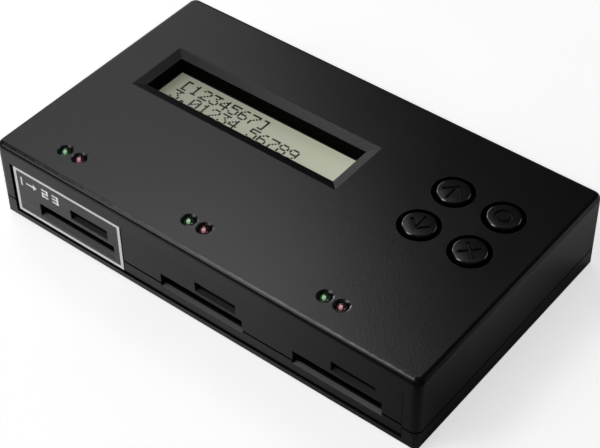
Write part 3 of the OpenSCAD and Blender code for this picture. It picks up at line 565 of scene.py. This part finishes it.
# Card sockets
# Moulded black bases on the main board, the long kind below it and the short kind on top, each
# in a folded bright steel shell, with a row of gilt springs for the card's contacts.
socket_black = speckled("socket_black", grey(0.004), grey(0.008), (0.4, 0.5))
gilt = speckled("gilt", (0.7, 0.5, 0.2), (0.8, 0.6, 0.28), (0.2, 0.3), 500, metallic=1.0)
spring_root, spring_tip = 1.5 * mm, 0.8 * mm
for kind, size, count, pitch, leaf, reach, bed_drop, way in (
        ("sd", "long", 9, 2.5 * mm, 0.9 * mm, 6 * mm, 0.45 * mm, -1),
        ("micro", "short", 8, 1.1 * mm, 0.6 * mm, 4 * mm, 0.95 * mm, 1)):
    for i in "123":
        base = softened(kind + "_socket_" + i, 0.06 * mm,
                        name=size + "_socket_" + i)
        finish(base, socket_black)
        shell = softened(kind + "_shell_" + i, 0.04 * mm, name=size + "_shell_" + i)
        finish(shell, sheet_steel)
        low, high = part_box(kind + "_socket_" + i)
        middle, root, bed = (low.x + high.x) / 2, high.y - spring_root, high.z - bed_drop
        springs = []
        for k in range(count):
            x = middle + (k - (count - 1) / 2) * pitch
            for y1, z0, z1 in ((root, -0.02, 0.12), (root - reach + spring_tip, 0.12, 0.3)):
                ends = sorted((bed + way * z0 * mm, bed + way * z1 * mm))
                springs.append(((x - leaf / 2, root - reach, ends[0]), (x + leaf / 2, y1, ends[1])))
        contacts = place(size + "_contacts_" + i, boxes(size + "_contacts_" + i, springs))
        finish(contacts, gilt)

# Boards
# Green masked laminate: a main board on posts in the bottom cover, and one board each for the
# display and the keys, screwed under the top cover and joined to the main board by pin headers.
board_green = speckled("board_green", (0.008, 0.06, 0.02), (0.012, 0.09, 0.03), (0.3, 0.4), 200)
nodes, links = board_green.node_tree.nodes, board_green.node_tree.links
tracks = nodes.new("ShaderNodeTexBrick")
tracks.inputs["Scale"].default_value = 160
tracks.inputs["Mortar Size"].default_value = 0.035
tracks.inputs["Color1"].default_value = (0.008, 0.06, 0.02, 1)
tracks.inputs["Color2"].default_value = (0.01, 0.075, 0.025, 1)
tracks.inputs["Mortar"].default_value = (0.03, 0.17, 0.06, 1)
links.new(nodes.new("ShaderNodeTexCoord").outputs["Object"], tracks.inputs["Vector"])
links.new(tracks.outputs["Color"], nodes["Principled BSDF"].inputs["Base Color"])
for node in ("main_board", "display_board", "key_board"):
    dress(node, board_green)
deck_z, under_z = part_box("main_board")[1].z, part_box("key_board")[0].z
for node in ("display_header", "key_header"):
    header = finish(softened(node, 0.05 * mm), socket_black)
    in_part(header, gilt, lambda c, n: c.z < deck_z - 0.01 * mm or c.z > under_z + 0.01 * mm)

# Parts on the main board
# Two black chips with tinned legs, a drawn crystal can, and a capacitor whose sleeve has a pale
# stripe and whose top is bare metal with a pressed cross. All are soldered to the board.
chip_black = speckled("chip_black", grey(0.006), grey(0.012), (0.5, 0.6))
can_metal = speckled("can_metal", grey(0.6), grey(0.7), (0.2, 0.3), 400, metallic=1.0)
bare_end = 0.8 * mm
leg_bends = ((-0.05, 0.35, 0.5, 0.65), (0.2, 0.35, 0.0, 0.5), (0.35, 0.9, 0.0, 0.15))
for node, pitch, leg, sides in (("controller_chip", 0.8 * mm, 0.3 * mm, 4),
                                ("memory_chip", 1.27 * mm, 0.42 * mm, 2)):
    finish(softened(node, 0.12 * mm), chip_black)
    low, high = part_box(node)
    middle = (low + high) / 2
    legs = []
    for side in range(sides):
        along_x = sides == 2 or side % 2 == 0
        half, edge = ((high.x - low.x) / 2, (high.y - low.y) / 2)[::1 if along_x else -1]
        count = int((2 * half - bare_end) / pitch)
        sign = 1 if side < sides / 2 else -1
        for k in range(count):
            t = (k - (count - 1) / 2) * pitch
            for out0, out1, z0, z1 in leg_bends:
                across = sorted((sign * (edge + out0 * mm), sign * (edge + out1 * mm)))
                a, b = (t - leg / 2, across[0]), (t + leg / 2, across[1])
                if not along_x:
                    a, b = a[::-1], b[::-1]
                legs.append(((middle.x + a[0], middle.y + a[1], low.z + z0 * mm),
                             (middle.x + b[0], middle.y + b[1], low.z + z1 * mm)))
    chip_legs = place(node + "_legs", boxes(node + "_legs", legs))
    finish(chip_legs, tinned)
finish(softened("clock_crystal", 0.3 * mm), can_metal)
low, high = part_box("supply_capacitor")
middle, can_r = (low + high) / 2, (high.x - low.x) / 2
can_round, waist, lip, well = 0.4 * mm, 0.25 * mm, 0.7 * mm, 0.15 * mm
profile = [(0, low.z), (can_r, low.z), (can_r, low.z + 0.9 * mm), (can_r - waist, low.z + 1.2 * mm),
           (can_r, low.z + 1.5 * mm)]
profile += rounded(can_r, high.z, can_round) + [(can_r - lip, high.z - well), (0, high.z - well)]
vent = bars("vent_cross", middle, [((-1.8, 0), (1.8, 0)), ((0, -1.8), (0, 1.8))],
            high.z - 2 * well, 0.15 * mm, high.z, 0.3 * mm)
capacitor = place("capacitor_can", carved(lathe("capacitor_can", profile, middle, 64), vent))
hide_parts("supply_capacitor")
finish(capacitor, speckled("sleeve_dark", (0.004, 0.006, 0.014), (0.006, 0.009, 0.02),
                           (0.25, 0.35)))
in_part(capacitor, speckled("sleeve_stripe", (0.4, 0.42, 0.45), (0.5, 0.52, 0.55), (0.3, 0.4)),
        lambda c, n: c.x - middle.x > 0.92 * can_r and c.z < high.z - can_round)
in_part(capacitor, can_metal, lambda c, n: n.z > 0.9)

# Power jack
# A square black housing soldered to the rear edge of the main board. Its round collar fills a
# hole in the rear wall, and a bright plated pin stands in the middle of the bore.
jack = finish(softened("power_jack", 0.12 * mm), socket_black)
low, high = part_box("power_jack")
jack_x, jack_z, pin_r = (low.x + high.x) / 2, (low.z + high.z) / 2, 1 * mm
in_part(jack, tinned, lambda c, n: math.hypot(c.x - jack_x, c.z - jack_z) < pin_r + 0.02 * mm)


# Screws and feet
# Zinc-plated pan-head screws with a cross recess, driven into posts: four close the case from
# below, the rest hold the boards. Four soft rubber feet are stuck in shallow recesses.
def screw_places(node):
    """The low and high corner of each separate screw of a node."""
    bm = bmesh.new()
    bm.from_mesh(frame["nodes"][node].data)
    bmesh.ops.remove_doubles(bm, verts=bm.verts, dist=same_point)
    left, found = set(bm.verts), []
    while left:
        group = [left.pop()]
        for vert in group:
            fresh = {edge.other_vert(vert) for edge in vert.link_edges} & left
            left -= fresh
            group.extend(fresh)
        found.append([Vector([pick(v.co[k] for v in group) for k in range(3)])
                      for pick in (min, max)])
    bm.free()
    return found


head_r, head_h, head_round = 2.2 * mm, 1.2 * mm, 0.5 * mm
shank_r, thread, thread_d = 1.2 * mm, 0.5 * mm, 0.22 * mm
plain_top, plain_end, point_l = 0.3 * mm, 0.9 * mm, 0.4 * mm
zinc = speckled("zinc", (0.42, 0.42, 0.44), (0.55, 0.55, 0.56), (0.25, 0.38), 500, metallic=1.0)
recess_arms = [((-0.75, 0), (0.75, 0)), ((0, -0.75), (0, 0.75))]
for node, head_up in (("case_screws", False), ("board_screws", True), ("display_screws", False),
                      ("key_board_screws", False)):
    group = screw_places(node)
    length = group[0][1].z - group[0][0].z
    profile = [(0, 0)]
    profile += [(r, head_h - z) for r, z in reversed(rounded(head_r, head_h, head_round))]
    profile += [(head_r, head_h), (shank_r, head_h)]
    turns = int((length - head_h - plain_end) / thread)
    for k in range(turns):
        z = head_h + plain_top + k * thread
        profile += [(shank_r, z), (shank_r - thread_d, z + thread / 2)]
    profile += [(shank_r - 0.2 * mm, length - point_l), (shank_r - 0.6 * mm, length), (0, length)]
    recess = bars("cross_recess", (0, 0), recess_arms, -0.2 * mm, 0.6 * mm, 0.8 * mm, 0.35 * mm)
    one_screw = carved(lathe("one_screw", profile, (0, 0), 32), recess)
    bm = bmesh.new()
    for low, high in group:
        known = len(bm.verts)
        bm.from_mesh(one_screw)
        bm.verts.ensure_lookup_table()
        middle, seat = (low + high) / 2, high.z if head_up else low.z
        stand = Matrix.Translation((middle.x, middle.y, seat))
        stand = stand @ Matrix.Rotation(math.pi if head_up else 0, 4, "X")
        bmesh.ops.transform(bm, matrix=stand, verts=bm.verts[known:])
    screws = place(node + "_turned", creased(bm, node + "_turned"))
    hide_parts(node)
    finish(screws, zinc)
foot_rubber = speckled("foot_rubber", grey(0.008), grey(0.014), (0.7, 0.85))
for corner in ("front_left", "front_right", "back_left", "back_right"):
    finish(softened("foot_" + corner, 0.3 * mm), foot_rubber)

# Table and studio
# A white table under soft boxes: a tall panel at the left rear, strips over the left side, a box
# at the front left, and a weak fill without reflections. In reflections only, the table's colour
# is painted dim towards the camera and in front of the case, a painted reflection of the dark
# room there, and given a little glow on the left, a painted reflection of light.
table_half, table_drop, camera_glow, mirror_glow = 3, 0.02 * mm, 0.66, 0.3
floor_mesh = bpy.data.meshes.new("table")
bm = bmesh.new()
bmesh.ops.create_grid(bm, x_segments=1, y_segments=1, size=table_half)
bm.to_mesh(floor_mesh)
bm.free()
floor = bpy.data.objects.new("table", floor_mesh)
bpy.context.scene.collection.objects.link(floor)
table_white = speckled("table_white", grey(0.78), grey(0.82), (0.6, 0.7), 20)
nodes, links = table_white.node_tree.nodes, table_white.node_tree.links
table_shader = nodes["Principled BSDF"]
table_shader.inputs["Emission Color"].default_value = (1, 1, 1, 1)
ray = nodes.new("ShaderNodeLightPath")


def worked(operation, first, second):
    """The result of a sum in the table's material over two sockets, or a socket and a number."""
    step = nodes.new("ShaderNodeMath")
    step.operation = operation
    links.new(first, step.inputs[0])
    if isinstance(second, float):
        step.inputs[1].default_value = second
    else:
        links.new(second, step.inputs[1])
    return step.outputs["Value"]


towards_camera = nodes.new("ShaderNodeVectorMath")
towards_camera.operation = "DOT_PRODUCT"
towards_camera.inputs[1].default_value = (0.63, -0.78, 0)
links.new(nodes.new("ShaderNodeTexCoord").outputs["Object"], towards_camera.inputs[0])
near = graded(table_white, towards_camera.outputs["Value"], (0.045, 0.1), (0, 1))
ahead = graded(table_white, along(table_white, "Y"), (-0.17, -0.2), (0, 1))
dim_side = worked("MAXIMUM", near, ahead)
lit_side = graded(table_white, dim_side, (0, 1), (1, 0))
left_glow = graded(table_white, along(table_white, "X"), (-0.085, 0.065), (mirror_glow, 0))
mirrored = worked("ADD", ray.outputs["Is Glossy Ray"], ray.outputs["Is Transmission Ray"])
mirrored_glow = worked("MULTIPLY", worked("MULTIPLY", lit_side, left_glow), mirrored)
seen_glow = worked("MULTIPLY", ray.outputs["Is Camera Ray"], camera_glow)
links.new(worked("ADD", seen_glow, mirrored_glow), table_shader.inputs["Emission Strength"])
# Painted reflection: for mirrored rays the table turns dark on the camera's side and in front.
dimmed = nodes.new("ShaderNodeMix")
dimmed.data_type = "RGBA"
dimmed.inputs["B"].default_value = (0.05, 0.05, 0.05, 1)
links.new(worked("MULTIPLY", dim_side, ray.outputs["Is Glossy Ray"]), dimmed.inputs["Factor"])
links.new(nodes["Color Ramp"].outputs["Color"], dimmed.inputs["A"])
links.new(dimmed.outputs["Result"], table_shader.inputs["Base Color"])
underside = nodes.new("ShaderNodeNewGeometry").outputs["Backfacing"]
links.new(graded(table_white, underside, (0, 1), (1, 0)), table_shader.inputs["Alpha"])
finish(floor, table_white)
floor.location.z = -table_drop

for name, at, size, power in (
        ("left_back_panel", (-0.809, 0.662, 0.344), (0.37, 1.4), 1.15),
        ("left_strip", (-0.527, 0.46, 0.965), (0.38, 0.34), 0.7),
        ("left_top_strip", (-0.495, 0.01, 0.977), (0.6, 0.3), 0.45),
        ("back_strip", (-0.089, 0.564, 0.94), (0.29, 0.1), 0.104),
        ("front_left_box", (-0.49, -0.69, 0.7), (0.35, 0.75), 1.9),
        ("left_spark", (-0.886, 0.322, 0.566), (0.2, 0.2), 0.5),
        ("right_back_card", (0.667, 0.863, 0.143), (0.72, 0.43), 0.6),
        ("diffuse_fill", (-0.24, -0.65, 0.98), (0.7, 0.5), 3.0)):
    lamp = bpy.data.lights.new(name, "AREA")
    lamp.shape = "RECTANGLE"
    lamp.size, lamp.size_y = size
    lamp.energy = power
    softbox = bpy.data.objects.new(name, lamp)
    softbox.location = at
    softbox.rotation_euler = (-Vector(at)).to_track_quat("-Z", "Y").to_euler()
    softbox.visible_glossy = name != "diffuse_fill"
    bpy.context.scene.collection.objects.link(softbox)

world = bpy.data.worlds.new("studio")
bpy.context.scene.world = world
world.use_nodes = True
world.node_tree.nodes["Background"].inputs["Color"].default_value = (0.02, 0.02, 0.02, 1)

camera_data = bpy.data.cameras.new("camera")
camera_data.sensor_fit = "HORIZONTAL"
camera_data.sensor_width = 36
camera_data.lens = 98.589
camera_data.clip_start = 0.01
camera = bpy.data.objects.new("camera", camera_data)
camera.location = (0.19994679, -0.24506416, 0.31181906)
camera.rotation_euler = [math.radians(turn) for turn in (45.815646, 0.675885, 38.281166)]
bpy.context.scene.collection.objects.link(camera)
bpy.context.scene.camera = camera
bpy.context.scene.view_settings.view_transform = "Standard"
